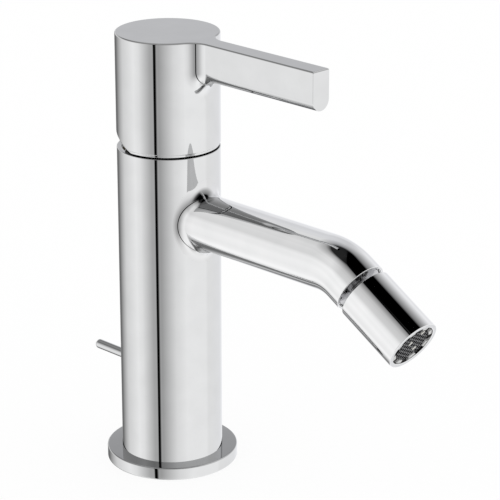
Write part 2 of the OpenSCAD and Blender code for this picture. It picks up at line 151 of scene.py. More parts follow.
chrome = mottled("chrome_column", (0.80, 0.805, 0.81), (0.84, 0.845, 0.85), 9, (0.008, 0.02), 1.0)
RING_R, RING_BORE, RING_H = 26, 18, 5
SEAL_IN, SEAL_OUT, SEAL_H = 20.7, 24.5, 1.5
base_ring = turned(
    "base_ring_turned",
    [
        (RING_BORE, 0),
        (SEAL_IN, 0),
        (SEAL_IN, SEAL_H),
        (SEAL_OUT, SEAL_H),
        (SEAL_OUT, 0),
        (RING_R, 0),
        (RING_R, RING_H),
        (RING_BORE, RING_H),
        (RING_BORE, 0),
    ],
)
break_edges(base_ring, 0.5)
base_ring.visible_glossy = False
fitted(base_ring, "column", chrome, "chrome", "base_ring")


# Body: the round column, cast in brass, turned, polished and chromed.
# Hollow below for hoses and lift rod, left raw inside, with a block above for the water ways
# and a rim for the cartridge.
def cut(piece, cutter):
    """Takes the cutter's shape out of a piece."""
    only(piece)
    hole = piece.modifiers.new("hole", "BOOLEAN")
    hole.operation = "DIFFERENCE"
    hole.solver = "EXACT"
    hole.object = cutter
    bpy.ops.object.modifier_apply(modifier=hole.name)
    bpy.data.objects.remove(cutter)


def drill(radius, depth, place, turn=(0, 0, 0), sides=64):
    """A round cutter, in millimetres, centred on a place."""
    bpy.ops.object.select_all(action="DESELECT")
    bpy.ops.mesh.primitive_cylinder_add(
        vertices=sides,
        radius=radius * MM,
        depth=depth * MM,
        location=Vector(place) * MM,
        rotation=turn,
    )
    bpy.ops.object.transform_apply(location=True, rotation=True, scale=True)
    return bpy.context.object


COLUMN_R, COLUMN_FOOT, COLUMN_TOP = 20, 4.4, 130
SKIRT_R, SKIRT_FOOT, HOLLOW_R, HOLLOW_TOP = 18, 1.6, 16.5, 84.1
RIM_R, RIM_FOOT, THREAD_R, THREAD_FOOT = 18.1, 126, 16, 119
SEAT_R, SEAT_FOOT = 14.2, 112
INLET_R, INLET_DEPTH, INLET_X, INLET_Y = 4.5, 13, 8.2, -3
STUD_R, STUD_DEPTH, STUD_Y = 3.4, 11, -10
SLOT_R, SLOT_Z, SLOT_RUN = 2.1, 35.1, 20
FACETS = math.radians(35)
body = turned(
    "body_column",
    [
        (0, HOLLOW_TOP),
        (HOLLOW_R, HOLLOW_TOP),
        (HOLLOW_R, SKIRT_FOOT),
        (SKIRT_R, SKIRT_FOOT),
        (SKIRT_R, COLUMN_FOOT),
        (COLUMN_R, COLUMN_FOOT),
        (COLUMN_R, COLUMN_TOP),
        (RIM_R, COLUMN_TOP),
        (RIM_R, RIM_FOOT),
        (THREAD_R, RIM_FOOT),
        (THREAD_R, THREAD_FOOT),
        (SEAT_R, THREAD_FOOT),
        (SEAT_R, SEAT_FOOT),
        (0, SEAT_FOOT),
    ],
    256,
)
break_edges(body, 0.3)
for side in (-1, 1):
    cut(body, drill(INLET_R, 2 * INLET_DEPTH, (side * INLET_X, INLET_Y, HOLLOW_TOP)))
cut(body, drill(STUD_R, 2 * STUD_DEPTH, (0, STUD_Y, HOLLOW_TOP)))
slot = drill(SLOT_R, 10, (0, COLUMN_R - 1, SLOT_Z), (math.pi / 2, 0, 0))
for corner in slot.data.vertices:
    if corner.co.z > SLOT_Z * MM:
        corner.co.z += SLOT_RUN * MM
cut(body, slot)
only(body)
bpy.ops.object.shade_smooth_by_angle(angle=FACETS)
fitted(body, "column", chrome, "chrome", "body")
raw_brass = mottled(
    "cast_brass", (0.16, 0.115, 0.05), (0.26, 0.19, 0.085), 1.2, (0.45, 0.6), 1.0, 0.02
)
body.data.materials.append(raw_brass)
for face in body.data.polygons:
    spot = face.center / MM
    if math.hypot(spot.x, spot.y) < SKIRT_R - 0.2 and spot.z < RIM_FOOT + 0.5:
        face.material_index = 1

# Lift rod, its guide and its knob: the knob pulls the rod up to open the waste.
# Chromed steel pin with a rounded end, drawn steel rod, moulded guide clipped into the column.
steel = mottled(
    "drawn_steel", (0.42, 0.42, 0.43), (0.56, 0.56, 0.57), 1.5, (0.22, 0.34), 1.0, 0.005
)
guide_plastic = mottled(
    "grey_plastic", (0.05, 0.055, 0.06), (0.075, 0.08, 0.085), 0.8, (0.4, 0.55), 0.0, 0.01
)
finish_node("lift_rod", steel)
finish_node("rod_guide", guide_plastic)
KNOB_R, KNOB_FOOT, KNOB_END, KNOB_ROUND = 1.9, 15, 44.2, 1.3
PIN_R, PIN_FOOT = 1.4, 12.5
knob_profile = [(0, PIN_FOOT), (PIN_R, PIN_FOOT), (PIN_R, KNOB_FOOT), (KNOB_R, KNOB_FOOT)]
for step in range(13):
    angle = math.pi / 2 * step / 12
    radius = KNOB_R - KNOB_ROUND + KNOB_ROUND * math.cos(angle)
    knob_profile.append((radius, KNOB_END - KNOB_ROUND + KNOB_ROUND * math.sin(angle)))
knob_profile.append((0, KNOB_END))
knob = turned("lift_knob_turned", knob_profile, 64)
break_edges(knob, 0.15)
knob.rotation_euler = (-math.pi / 2, 0, 0)
knob.location = (0, 0, SLOT_Z * MM)
bpy.ops.object.transform_apply(location=True, rotation=True, scale=True)
fitted(knob, "lift", chrome, "chrome", "lift_knob")


# Spout: a round brass tube, bent down at its end and chromed.
# Brazed into the column with a rounded joint, and counterbored at its end for the ball stud.
def lay(name, rows):
    """A sheet of quads over rows of points in millimetres, laid on a grid."""
    bpy.ops.object.select_all(action="DESELECT")
    bpy.ops.mesh.primitive_grid_add(
        x_subdivisions=len(rows[0]) - 1, y_subdivisions=len(rows) - 1, size=MM
    )
    piece = bpy.context.object
    piece.name = piece.data.name = name
    piece.data.vertices.foreach_set("co", [c * MM for row in rows for point in row for c in point])
    return piece


def sew(piece, *others):
    """Joins sheets along their shared edges, and turns their faces outwards."""
    only(piece)
    for other in others:
        other.select_set(True)
    if others:
        bpy.ops.object.join()
    bpy.ops.object.mode_set(mode="EDIT")
    bpy.ops.mesh.select_all(action="SELECT")
    bpy.ops.mesh.remove_doubles(threshold=0.002 * MM)
    bpy.ops.mesh.normals_make_consistent(inside=False)
    bpy.ops.object.mode_set(mode="OBJECT")


def arc(centre, start, end, steps):
    """Points on the arc about a centre from one point to another, without the first."""
    a, b = Vector(start) - Vector(centre), Vector(end) - Vector(centre)
    return [Vector(centre) + a.slerp(b, step / steps) * a.length for step in range(1, steps + 1)]


SPOUT_R, SPOUT_Z, SPOUT_RUN, ROOT_FILLET = 10.6, 103.7, 84.4, 6
BEND_R, BEND, TAIL = 21.6, math.radians(30.5), 5.9
LIP_BORE, LIP_DEPTH, BORE, BORE_FLOOR = 9.6, 1.8, 8.2, 0.2
ROOT_Y, ROOT_SINK = -17, 0.015
ROUND, FILLET_STEPS, RUN_STEPS, BEND_STEPS = 160, 16, 4, 24


def along(turn, radius, side, up, beyond=0.0):
    """A point of the spout that lies so far round the bend, and so many millimetres beyond it."""
    reach = BEND_R + radius * up
    y = -SPOUT_RUN - reach * math.sin(turn) - beyond * math.cos(turn)
    z = SPOUT_Z - BEND_R + reach * math.cos(turn) - beyond * math.sin(turn)
    return Vector((radius * side, y, z))


columns = []
for number in range(ROUND + 1):
    around = 2 * math.pi * number / ROUND
    side, up = math.sin(around), math.cos(around)
    ball_x = (SPOUT_R + ROOT_FILLET) * side
    ball_y = -math.sqrt((COLUMN_R + ROOT_FILLET) ** 2 - ball_x**2)
    ball = Vector((ball_x, ball_y, SPOUT_Z + (SPOUT_R + ROOT_FILLET) * up))
    share = COLUMN_R / (COLUMN_R + ROOT_FILLET)
    on_column = Vector((ball.x * share, ball.y * share, ball.z))
    on_spout = Vector((SPOUT_R * side, ball.y, SPOUT_Z + SPOUT_R * up))
    edge_turn = math.asin(on_column.x / COLUMN_R) + side / COLUMN_R
    edge = Vector((math.sin(edge_turn), -math.cos(edge_turn), 0))
    edge_z = Vector((0, 0, ball.z + up))
    column = [Vector((0, ROOT_Y, SPOUT_Z)), edge * (COLUMN_R - 1) + edge_z]
    column += [edge * (COLUMN_R - ROOT_SINK) + edge_z, on_column]
    column += arc(ball, on_column, on_spout, FILLET_STEPS)
    for step in range(1, RUN_STEPS + 1):
        y = ball.y + (-SPOUT_RUN - ball.y) * step / RUN_STEPS
        column.append(Vector((on_spout.x, y, on_spout.z)))
    for step in range(1, BEND_STEPS + 1):
        column.append(along(BEND * step / BEND_STEPS, SPOUT_R, side, up))
    column.append(along(BEND, SPOUT_R, side, up, TAIL))
    column.append(along(BEND, LIP_BORE, side, up, TAIL))
    column.append(along(BEND, LIP_BORE, side, up, TAIL - LIP_DEPTH))
    column.append(along(BEND, BORE, side, up, TAIL - LIP_DEPTH))
    column.append(along(BEND, BORE, side, up, BORE_FLOOR))
    column.append(along(BEND, 0, side, up, BORE_FLOOR))
    columns.append(column)
# Painted light: spout and nozzle take a brighter copy of the column's chrome, tone 0.92 to 0.96
# against 0.80 to 0.85, so they mirror more light.
chrome_painted_brighter = mottled(
    "chrome_spout_painted_light", (0.92, 0.925, 0.93), (0.96, 0.96, 0.965), 9, (0.006, 0.016), 1.0
)
# Painted shade: the spout's chrome darkens by up to an eighth towards the column, in the crease of
# the root fillet.
ROOT_SHADE_TONE = 0.873
tree = chrome_painted_brighter.node_tree
place = tree.nodes["Texture Coordinate"]
level = tree.nodes.new("ShaderNodeVectorMath")
level.operation = "MULTIPLY"
level.inputs[1].default_value = (1, 1, 0)
tree.links.new(place.outputs["Object"], level.inputs[0])
reach = tree.nodes.new("ShaderNodeVectorMath")
reach.operation = "LENGTH"
tree.links.new(level.outputs[0], reach.inputs[0])
root_shade_ramp = tree.nodes.new("ShaderNodeMapRange")
root_shade_ramp.inputs["From Min"].default_value = (COLUMN_R + 0.3) * MM
root_shade_ramp.inputs["From Max"].default_value = (COLUMN_R + ROOT_FILLET) * MM
root_shade_ramp.inputs["To Min"].default_value = ROOT_SHADE_TONE
root_shade_ramp.inputs["To Max"].default_value = 1.0
tree.links.new(reach.outputs["Value"], root_shade_ramp.inputs["Value"])
shaded_root_tone = tree.nodes.new("ShaderNodeVectorMath")
shaded_root_tone.operation = "SCALE"
tree.links.new(tree.nodes["Color Ramp"].outputs["Color"], shaded_root_tone.inputs[0])
tree.links.new(root_shade_ramp.outputs["Result"], shaded_root_tone.inputs["Scale"])
tree.links.new(shaded_root_tone.outputs[0], tree.nodes["Principled BSDF"].inputs["Base Color"])
spout = lay("spout_tube", columns)
sew(spout)
break_edges(spout, 0.3)
fitted(spout, "column", chrome_painted_brighter, "chrome", "spout")

# Ball stud and its seal: a hollow ball on a neck, screwed into the spout's end for the nozzle.
# Turned brass in satin nickel, with four spanner notches in its flange, on a flat rubber seal.
NOZZLE_TILT = math.pi / 2 + BEND
BALL = (0, -107.598, 93.504)
BALL_R, BALL_TOP, BALL_FOOT, STUD_BORE = 7, 5.2, -5.745, 2.6
SHANK_R, SHANK_FOOT, NECK_R = 8.1, -13.2, 4
FLANGE_R, FLANGE_FOOT, FLANGE_TOP = 9, -10.1, -8.9
SPANNER_R, SPANNER_DEPTH, SPANNER_IN, SPANNER_TURN = 0.7, 3, 0.2, math.radians(20)


def on_ball(piece):
    """Places a piece that was made upright round the ball's centre on the spout's end."""
    only(piece)
    piece.rotation_euler = (NOZZLE_TILT, 0, 0)
    piece.location = Vector(BALL) * MM
    bpy.ops.object.transform_apply(location=True, rotation=True, scale=True)


stud_profile = [
    (STUD_BORE, BALL_TOP),
    (STUD_BORE, SHANK_FOOT),
    (SHANK_R, SHANK_FOOT),
    (SHANK_R, FLANGE_FOOT),
    (FLANGE_R, FLANGE_FOOT),
    (FLANGE_R, FLANGE_TOP),
    (NECK_R, FLANGE_TOP),
]
for step in range(25):
    height = BALL_FOOT + (BALL_TOP - BALL_FOOT) * step / 24
    stud_profile.append((math.sqrt(BALL_R**2 - height**2), height))
stud_profile.append((STUD_BORE, BALL_TOP))
stud = turned("ball_stud_turned", stud_profile, 128)
break_edges(stud, 0.2)
reach = FLANGE_R - SPANNER_IN
for quarter in range(4):
    turn = math.pi / 2 * quarter + SPANNER_TURN
    notch = (reach * math.cos(turn), reach * math.sin(turn), FLANGE_TOP - 0.3)
    cut(stud, drill(SPANNER_R, SPANNER_DEPTH, notch, sides=24))
only(stud)
bpy.ops.object.shade_smooth_by_angle(angle=FACETS)
on_ball(stud)
satin = mottled("satin_nickel", (0.45, 0.45, 0.46), (0.62, 0.62, 0.63), 3.5, (0.08, 0.16), 1.0)
fitted(stud, "column", satin, "chrome", "ball_stud")
finish_node("stud_seal", rubber)

# Ball shell and ball seal: the two halves of the socket that let the nozzle lean on the ball.
# A moulded acetal shell behind the ball and a rubber seal in front of it.
acetal = mottled(
    "white_acetal", (0.62, 0.61, 0.57), (0.7, 0.69, 0.65), 1.2, (0.35, 0.5), 0.0, 0.008
)
finish_node("ball_shell", acetal)
finish_node("ball_seal", rubber)

# Nozzle housing: the sleeve that swivels on the ball and holds the aerator.
# Turned brass, polished and chromed; its end face, like the spout's, is only faced off.
NOZZLE_R, NOZZLE_FOOT, NOZZLE_END = 10.75, -5.5, 21.5
MOUTH_R, MOUTH_FOOT, SHELL_R, SHELL_FOOT, SOCKET_R = 9.1, 8, 8.65, 0.5, 8.6
nozzle_profile = [
    (NOZZLE_R, NOZZLE_FOOT),
    (NOZZLE_R, NOZZLE_END),
    (MOUTH_R, NOZZLE_END),
    (MOUTH_R, MOUTH_FOOT),
    (SHELL_R, MOUTH_FOOT),
    (SHELL_R, SHELL_FOOT),
]
for step in range(13):
    height = NOZZLE_FOOT * step / 12
    nozzle_profile.append((math.sqrt(SOCKET_R**2 - height**2), height))
nozzle_profile.append((NOZZLE_R, NOZZLE_FOOT))
nozzle = turned("nozzle_sleeve", nozzle_profile, 224)
break_edges(nozzle, 0.4)
on_ball(nozzle)
fitted(nozzle, "nozzle", chrome_painted_brighter, "chrome", "nozzle_housing")
faced = mottled("faced_chrome", (0.66, 0.665, 0.67), (0.74, 0.745, 0.75), 3, (0.1, 0.18), 1.0)
out = Vector((0, -math.sin(NOZZLE_TILT), math.cos(NOZZLE_TILT)))
for piece in (spout, nozzle):
    piece.data.materials.append(faced)
    for face in piece.data.polygons:
        if face.normal.dot(out) > 0.999:
            face.material_index = 1

# Aerator: a cup in the nozzle's mouth, with an inlet strainer, a jet plate and an outlet grid.
# All moulded in plastic; the cup's pale rim is castellated for its key,
# and the grid is a honeycomb with three posts.
CUP_R, CUP_BORE, CUP_FOOT, CUP_RIM, CUP_NOTCH = 9, 7.5, 9.5, 21.1, 19.5
NOTCH_R, NOTCH_TURN, NOTCH_SIZE = 8.3, math.radians(7.5), (2.6, 3.7, 4)
GRID_IN, GRID_OUT, GRID_LOW, GRID_HIGH = 7.2, 8.95, 19.6, 20.2
GRID_FACE, GRID_DEPTH, GRID_TURN = 20.9, 3, math.radians(-30)
CELL, CELL_WALL, CELL_ROWS = 1.7, 0.4, 6
POSTS = [(-1.6, 1.3), (2.7, -2.7), (2.4, 5.6)]
POST_SIZE, POST_SINK, POST_TURN = (1.7, 0.9, 2), 0.9, math.radians(47)
grid_plastic = mottled(
    "aerator_black", (0.035, 0.035, 0.037), (0.075, 0.075, 0.078), 0.5, (0.2, 0.35), 0.0, 0.01
)
# Near-black plastic that is painted shade: it darkens the honeycomb's cell walls and the jet plate
# behind them, where shade falls in the holes.
painted_shade_plastic = mottled(
    "aerator_painted_shade", (0.003, 0.003, 0.003), (0.008, 0.008, 0.008), 0.5, (0.5, 0.7)
)
cup_plastic = mottled(
    "aerator_pale", (0.5, 0.5, 0.5), (0.62, 0.62, 0.61), 0.7, (0.2, 0.35), 0.0, 0.01
)
finish_node("aerator_seal", rubber)
finish_node("aerator_strainer", acetal)
# The jet plate, seen through the cells, is painted near black as shade.
finish_node("aerator_jet", painted_shade_plastic)
cup = turned(
    "aerator_cup_moulded",
    [
        (CUP_BORE, CUP_FOOT),
        (CUP_R, CUP_FOOT),
        (CUP_R, CUP_RIM),
        (CUP_BORE, CUP_RIM),
        (CUP_BORE, CUP_FOOT),
    ],
    144,
)
for eighth in range(8):
    turn = math.pi / 4 * eighth + NOTCH_TURN
    x, y = NOTCH_R * math.cos(turn), NOTCH_R * math.sin(turn)
    bpy.ops.mesh.primitive_cube_add(
        size=MM,
        location=Vector((x, y, CUP_NOTCH + NOTCH_SIZE[2] / 2)) * MM,
        rotation=(0, 0, turn),
        scale=NOTCH_SIZE,
    )
    bpy.ops.object.transform_apply(location=True, rotation=True, scale=True)
    cut(cup, bpy.context.object)
break_edges(cup, 0.1, 2)
on_ball(cup)
fitted(cup, "nozzle", cup_plastic, "aerator_plastic", "aerator_cup")

grid_rim = turned(
    "aerator_grid_rim",
    [
        (GRID_IN, GRID_LOW),
        (GRID_OUT, GRID_LOW),
        (GRID_OUT, GRID_HIGH),
        (GRID_IN, GRID_HIGH),
        (GRID_IN, GRID_LOW),
    ],
    144,
)
break_edges(grid_rim, 0.05, 1)
bpy.ops.object.select_all(action="DESELECT")
bpy.ops.mesh.primitive_circle_add(vertices=6, radius=CELL / math.sqrt(3) * MM, fill_type="NGON")
honeycomb = bpy.context.object
honeycomb.name = honeycomb.data.name = "aerator_honeycomb"
bpy.ops.object.mode_set(mode="EDIT")
for row in range(-CELL_ROWS, CELL_ROWS + 1):
    for number in range(-CELL_ROWS, CELL_ROWS + 1):
        x, y = (number + row % 2 / 2) * CELL, row * CELL * math.sqrt(3) / 2
        if (row or number) and math.hypot(x, y) < CUP_BORE - CELL / 4:
            bpy.ops.mesh.primitive_circle_add(
                vertices=6,
                radius=CELL / math.sqrt(3) * MM,
                fill_type="NGON",
                location=(x * MM, y * MM, 0),
            )
bpy.ops.mesh.select_all(action="SELECT")
bpy.ops.mesh.remove_doubles(threshold=0.01 * MM)
bpy.ops.mesh.inset(thickness=CELL_WALL / 2 * MM, use_individual=True)
bpy.ops.mesh.delete(type="FACE")
bpy.ops.object.mode_set(mode="OBJECT")
honeycomb.rotation_euler = (0, 0, GRID_TURN)
honeycomb.location = (0, 0, GRID_FACE * MM)
bpy.ops.object.transform_apply(location=True, rotation=True, scale=True)
depth = honeycomb.modifiers.new("depth", "SOLIDIFY")
depth.thickness = GRID_DEPTH * MM
bpy.ops.object.modifier_apply(modifier=depth.name)
grid_rim.select_set(True)
bpy.ops.object.join()
# The cell walls, every face but the grid's front, take the painted shade.
for face in honeycomb.data.polygons:
    face.material_index = 0 if face.center.z > (GRID_FACE - 0.01) * MM else 1
on_ball(honeycomb)
shaded_cell_faces = [face.material_index for face in honeycomb.data.polygons]
fitted(honeycomb, "nozzle", grid_plastic, "aerator_plastic", "aerator_grid")
honeycomb.data.materials.append(painted_shade_plastic)
honeycomb.data.polygons.foreach_set("material_index", shaded_cell_faces)

for number, (x, y) in enumerate(POSTS):
    bpy.ops.object.select_all(action="DESELECT")
    bpy.ops.mesh.primitive_cube_add(
        size=MM,
        location=Vector((x, y, GRID_FACE - POST_SINK)) * MM,
        rotation=(0, 0, POST_TURN),
        scale=POST_SIZE,
    )
    post = bpy.context.object
    post.name = post.data.name = f"aerator_post_{number}"
    bpy.ops.object.transform_apply(location=True, rotation=True, scale=True)
    break_edges(post, 0.1, 2)
    on_ball(post)
    fitted(post, "nozzle", acetal, "aerator_plastic")

# Cartridge: the ceramic valve in the top of the column, held down by a brass nut.
# Discs of sintered alumina; housing, base and carrier of moulded plastic;
# a coloured turning sleeve, and a steel stem on a pin.
ceramic = mottled(
    "white_ceramic", (0.78, 0.77, 0.74), (0.84, 0.83, 0.81), 0.5, (0.2, 0.35), 0.0, 0.004
)
housing_plastic = mottled(
    "cartridge_plastic", (0.55, 0.56, 0.56), (0.63, 0.64, 0.64), 1.0, (0.35, 0.5), 0.0, 0.008
)
sleeve_plastic = mottled(
    "sleeve_plastic", (0.09, 0.16, 0.28), (0.12, 0.2, 0.34), 1.0, (0.35, 0.5), 0.0, 0.008
)
brass = mottled(
    "turned_brass", (0.62, 0.46, 0.19), (0.74, 0.56, 0.26), 1.4, (0.18, 0.32), 1.0, 0.006
)
finish_node("cartridge_gasket", rubber)
for name in ("cartridge_base", "cartridge_housing", "disc_carrier"):
    finish_node(name, housing_plastic)
for name in ("fixed_disc", "moving_disc"):
    finish_node(name, ceramic)
for name in ("pivot_pin", "stem"):
    finish_node(name, steel)
finish_node("turn_sleeve", sleeve_plastic)
finish_node("cartridge_nut", brass)

# Dome cover: the thin pressed cap over the cartridge nut, seen in the joint under the handle.
# Its near-black chrome is painted shade, so the joint between handle and column looks dark.
painted_shade_chrome = mottled(
    "painted_shade_chrome", (0.018, 0.018, 0.02), (0.035, 0.035, 0.037), 2, (0.2, 0.3), 1.0
)
finish_node("dome_cover", painted_shade_chrome)

# Handle: a round cap with a lever bar flush with its flat top, cast in zinc, polished and chromed.
# The bar runs into the cap over a wide fillet, and the cap's foot is bevelled at the back,
# so that it clears the column when it is lifted.
HANDLE_R, HANDLE_FOOT, HANDLE_TOP = 20.1, 131.2, 175
LEVER_W, LEVER_Z, LEVER_END, FILLET = 4.2, 164, -80, 8
HANDLE_BORE, ROOF, HUB_R, HUB_FOOT = 18.2, 169, 8, 149
LIP_R, LIP_TOP, LIP_FOOT = 19.6, 0.4, -0.65
REAR_BEVEL, TOP_ROUND, UNDERSIDE = math.radians(20), 0.6, 12
SIDE_STEPS, ROUND_STEPS, REAR_STEPS, FLANK_STEPS = 8, 36, 32, 24
BAR_STEPS, ROOT_STEPS, CAP_STEPS = 4, 14, 10
section = []
for step in range(SIDE_STEPS + 1):
    section.append((-1, 0, HANDLE_TOP + (LEVER_Z - HANDLE_TOP) * step / SIDE_STEPS))
for step in range(1, ROUND_STEPS):
    angle = math.pi * step / ROUND_STEPS
    section.append((-math.cos(angle), -math.sin(angle), LEVER_Z))
for step in range(SIDE_STEPS + 1):
    section.append((1, 0, LEVER_Z + (HANDLE_TOP - LEVER_Z) * step / SIDE_STEPS))
bar = []
root = []
for across, down, middle in section:
    x, z = LEVER_W * across, middle + LEVER_W * down
    ball_x = x + FILLET * across
    ball_y = -math.sqrt((HANDLE_R + FILLET) ** 2 - ball_x**2)
    ball = Vector((ball_x, ball_y, z + FILLET * down))
    share = HANDLE_R / (HANDLE_R + FILLET)
    on_cap = Vector((ball.x * share, ball.y * share, ball.z))
    on_bar = Vector((x, ball.y, z))
    row = []
    for step in range(BAR_STEPS):
        row.append(Vector((x, LEVER_END + (ball.y - LEVER_END) * step / BAR_STEPS, z)))
    bar.append(row + [on_bar] + arc(ball, on_bar, on_cap, ROOT_STEPS))
    root.append(on_cap)
root_angle = math.asin(root[-1].x / HANDLE_R)


def foot(y):
    """Height of the cap's foot, which rises at the back."""
    return HANDLE_FOOT + max(0, y) * math.tan(REAR_BEVEL)


turns = []
for step in range(REAR_STEPS + 1):
    angle = math.pi * (step / REAR_STEPS / 2 - 1)
    turns.append((math.sin(angle), -math.cos(angle), LEVER_Z))
for step in range(1, FLANK_STEPS + 1):
    angle = -math.pi / 2 + (math.pi / 2 - root_angle) * step / FLANK_STEPS
    turns.append((math.sin(angle), -math.cos(angle), LEVER_Z))
HALF = len(turns)
for point in root[SIDE_STEPS + 1 : -SIDE_STEPS - 1]:
    turns.append((point.x / HANDLE_R, point.y / HANDLE_R, point.z))
turns += [(-x, y, z) for x, y, z in reversed(turns[:HALF])]
cap = []
for x, y, top in turns:
    bottom = foot(HANDLE_R * y) + LIP_TOP
    row = []
    for step in range(CAP_STEPS + 1):
        row.append((HANDLE_R * x, HANDLE_R * y, top + (bottom - top) * step / CAP_STEPS))
    row.append((LIP_R * x, LIP_R * y, foot(LIP_R * y) + LIP_TOP))
    row.append((LIP_R * x, LIP_R * y, foot(LIP_R * y) + LIP_FOOT))
    row.append((HANDLE_BORE * x, HANDLE_BORE * y, foot(HANDLE_BORE * y) + LIP_FOOT))
    row.append((HANDLE_BORE * x, HANDLE_BORE * y, ROOF))
    row.append((HUB_R * x, HUB_R * y, ROOF))
    row.append((HUB_R * x, HUB_R * y, HUB_FOOT))
    row.append((0, 0, HUB_FOOT))
    cap.append(row)
crown = []
heights = [z for _, _, z in section[-SIDE_STEPS - 1 :]]
for x, y, _ in turns[-HALF:] + turns[1:HALF]:
    crown.append([(HANDLE_R * x, HANDLE_R * y, z) for z in heights])
handle = lay("handle_cap", cap)
sew(handle, lay("lever_bar", bar), lay("handle_crown", crown))
handle.name = handle.data.name = "handle_lever"
only(handle)
bpy.ops.object.mode_set(mode="EDIT")
bpy.ops.mesh.select_mode(type="EDGE")
for level in ("end", "top"):
    bpy.ops.mesh.select_all(action="DESELECT")
    bpy.ops.object.mode_set(mode="OBJECT")
    points = handle.data.vertices
    for edge in handle.data.edges:
        ends = [points[v].co / MM for v in edge.vertices]
        if level == "top":
            edge.select = all(abs(p.z - HANDLE_TOP) < 0.001 for p in ends)
        else:
            edge.select = all(abs(p.y - LEVER_END) < 0.001 for p in ends)
    bpy.ops.object.mode_set(mode="EDIT")
    bpy.ops.mesh.edge_face_add()
bpy.ops.mesh.bevel(offset=TOP_ROUND * MM, segments=5, affect="EDGES")
bpy.ops.mesh.select_all(action="SELECT")
bpy.ops.mesh.normals_make_consistent(inside=False)
bpy.ops.object.mode_set(mode="OBJECT")
break_edges(handle, 0.2)
fitted(handle, "lever_set", chrome, "chrome", "handle")
# Painted shade: the handle's downward faces near its foot take the same near-black chrome, for the
# shadow in the joint.
handle.data.materials.append(painted_shade_chrome)
for face in handle.data.polygons:
    if face.center.z < (HANDLE_FOOT + UNDERSIDE) * MM and face.normal.z < -0.5:
        face.material_index = 1

# Handle screw and plug: a steel grub screw clamps the handle on the stem.
# A small chromed plug, pressed in behind it, covers it.
PLUG_R, PLUG_FOOT, PLUG_RIM, PLUG_CROWN, PLUG_Z = 2.5, 16.1, 20.3, 20.4, 157
finish_node("handle_screw", steel)
plug = turned(
    "handle_plug_turned",
    [(0, PLUG_FOOT), (PLUG_R, PLUG_FOOT), (PLUG_R, PLUG_RIM), (0, PLUG_CROWN)],
    96,
)
break_edges(plug, 0.12)
plug.rotation_euler = (-math.pi / 2, 0, 0)
plug.location = (0, 0, PLUG_Z * MM)
bpy.ops.object.transform_apply(location=True, rotation=True, scale=True)
fitted(plug, "lever_set", chrome, "chrome", "handle_plug")

# Studio: a white floor, the photograph's camera, and a tent of light that only reflections show.
# The tent has soft walls of several tones with a dark joint, and a roof that darkens upwards.
FLOOR_SIZE, SHADOW_SHARE = 6, 0.1
bpy.ops.object.select_all(action="DESELECT")
bpy.ops.mesh.primitive_plane_add(size=FLOOR_SIZE)
floor = bpy.context.object
floor.name = "floor"
floor.visible_glossy = False
paper = bpy.data.materials.new("white_floor")
paper.use_nodes = True
tree = paper.node_tree
tree.nodes.clear()
output = tree.nodes.new("ShaderNodeOutputMaterial")
blend = tree.nodes.new("ShaderNodeMixShader")
blend.inputs["Fac"].default_value = SHADOW_SHARE
glow = tree.nodes.new("ShaderNodeEmission")
matt = tree.nodes.new("ShaderNodeBsdfDiffuse")
matt.inputs["Color"].default_value = (0.98, 0.98, 0.98, 1)
tree.links.new(glow.outputs[0], blend.inputs[1])
tree.links.new(matt.outputs[0], blend.inputs[2])
tree.links.new(blend.outputs[0], output.inputs["Surface"])
floor.data.materials.append(paper)

CAMERA_TURN, CAMERA_RISE, CAMERA_WAY = math.radians(-45), math.radians(19.76), 902.326
AIM_RIGHT, AIM_Z, FOCAL, SENSOR = 31.224, 86.865, 166.201, 36
back = Vector(
    (
        math.sin(CAMERA_TURN) * math.cos(CAMERA_RISE),
        -math.cos(CAMERA_TURN) * math.cos(CAMERA_RISE),
        math.sin(CAMERA_RISE),
    )
)
right = Vector((math.cos(CAMERA_TURN), math.sin(CAMERA_TURN), 0))
lens = bpy.data.cameras.new("camera")
lens.lens, lens.sensor_width = FOCAL, SENSOR
camera = bpy.data.objects.new("camera", lens)
bpy.context.scene.collection.objects.link(camera)
camera.location = (AIM_RIGHT * right + Vector((0, 0, AIM_Z)) + CAMERA_WAY * back) * MM
camera.rotation_euler = (math.pi / 2 - CAMERA_RISE, 0, CAMERA_TURN)
bpy.context.scene.camera = camera

world = bpy.data.worlds.new("studio")
bpy.context.scene.world = world
world.use_nodes = True
tree = world.node_tree
tree.nodes.clear()


def maths(operation, first, second=None, third=None):
    """One step of sums in a light's nodes; a step's inputs are other steps or plain numbers."""
    step = tree.nodes.new("ShaderNodeMath")
    step.operation = operation
    for socket, value in zip(step.inputs, (first, second, third)):
        if value is None:
            continue
        if isinstance(value, (int, float)):
            socket.default_value = value
        else:
            tree.links.new(value, socket)
    return step.outputs[0]


TURN, RISE = 180, 90


def tones(where, reach, stops):
    """Tones for an angle that reaches so many degrees each way, from (degrees, tone) stops."""
    ramp = tree.nodes.new("ShaderNodeValToRGB")
    marks = ramp.color_ramp.elements
    while len(marks) > 1:
        marks.remove(marks[0])
    marks[0].position = 1
    for degrees, tone in stops:
        colour = tone if isinstance(tone, tuple) else (tone, tone, tone)
        marks.new((degrees + reach) / (2 * reach)).color = (*colour, 1)
    marks.remove(marks[-1])
    share = maths("DIVIDE", maths("SUBTRACT", where, math.radians(-reach)), math.radians(2 * reach))
    tree.links.new(share, ramp.inputs["Fac"])
    return ramp.outputs["Color"]


def mixed(kind, share, first, second):
    """Lays one tone over another."""
    mix = tree.nodes.new("ShaderNodeMixRGB")
    mix.blend_type = kind
    for socket, value in zip(mix.inputs, (share, first, second)):
        if isinstance(value, (int, float)):
            socket.default_value = value if socket.type == "VALUE" else (value, value, value, 1)
        else:
            tree.links.new(value, socket)
    return mix.outputs[0]


